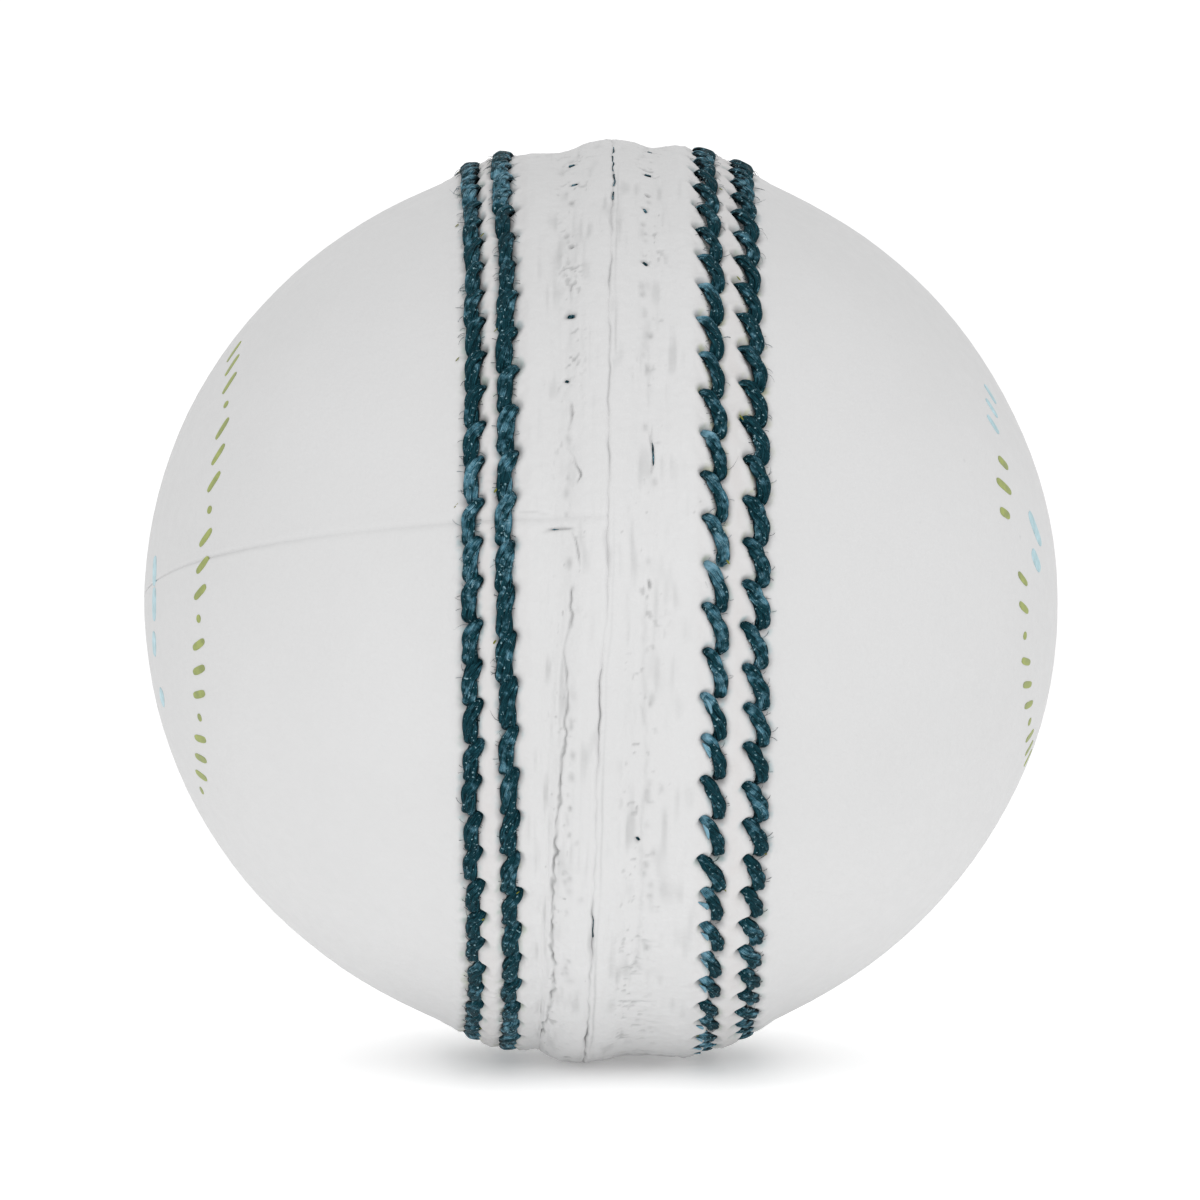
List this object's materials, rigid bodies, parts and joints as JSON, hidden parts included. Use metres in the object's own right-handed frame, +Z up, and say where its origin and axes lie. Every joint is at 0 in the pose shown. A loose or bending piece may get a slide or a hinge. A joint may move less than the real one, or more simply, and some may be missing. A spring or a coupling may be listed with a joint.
{
  "type": "cricket ball",
  "caption": "White leather cricket ball with a raised main seam, teal hand-stitched rows on each side of it, and a wound cork and yarn core.",
  "frame": {"origin": "centre of the ball, on the plane of the main seam", "axes": "+X along the polar axis, square to the main seam, +Z up, front towards -Y"},
  "size_m": [0.072, 0.0724, 0.0724],
  "materials": {
    "cover_leather": "satin",
    "row_thread": "matte",
    "closing_thread": "matte",
    "quarter_thread": "matte",
    "lining": "matte",
    "yarn": "matte",
    "cork": "matte",
    "nucleus": "matte"
  },
  "bodies": {
    "root": {"cover_left_upper": "cover_leather", "cover_left_lower": "cover_leather", "cover_right_front": "cover_leather", "cover_right_rear": "cover_leather", "row_thread_left_outer_a": "row_thread", "row_thread_left_outer_b": "row_thread", "row_thread_left_middle_a": "row_thread", "row_thread_left_middle_b": "row_thread", "row_thread_right_middle_a": "row_thread", "row_thread_right_middle_b": "row_thread", "row_thread_right_outer_a": "row_thread", "row_thread_right_outer_b": "row_thread", "closing_thread_a": "closing_thread", "closing_thread_b": "closing_thread", "quarter_seam_thread_left": "quarter_thread", "quarter_seam_thread_right": "quarter_thread", "lining_tape_left": "lining", "lining_tape_right": "lining", "yarn_winding_inner": "yarn", "yarn_winding_middle": "yarn", "yarn_winding_outer": "yarn", "cork_strips_inner": "cork", "cork_strips_outer": "cork", "core_nucleus": "nucleus"}
  },
  "joints": []
}
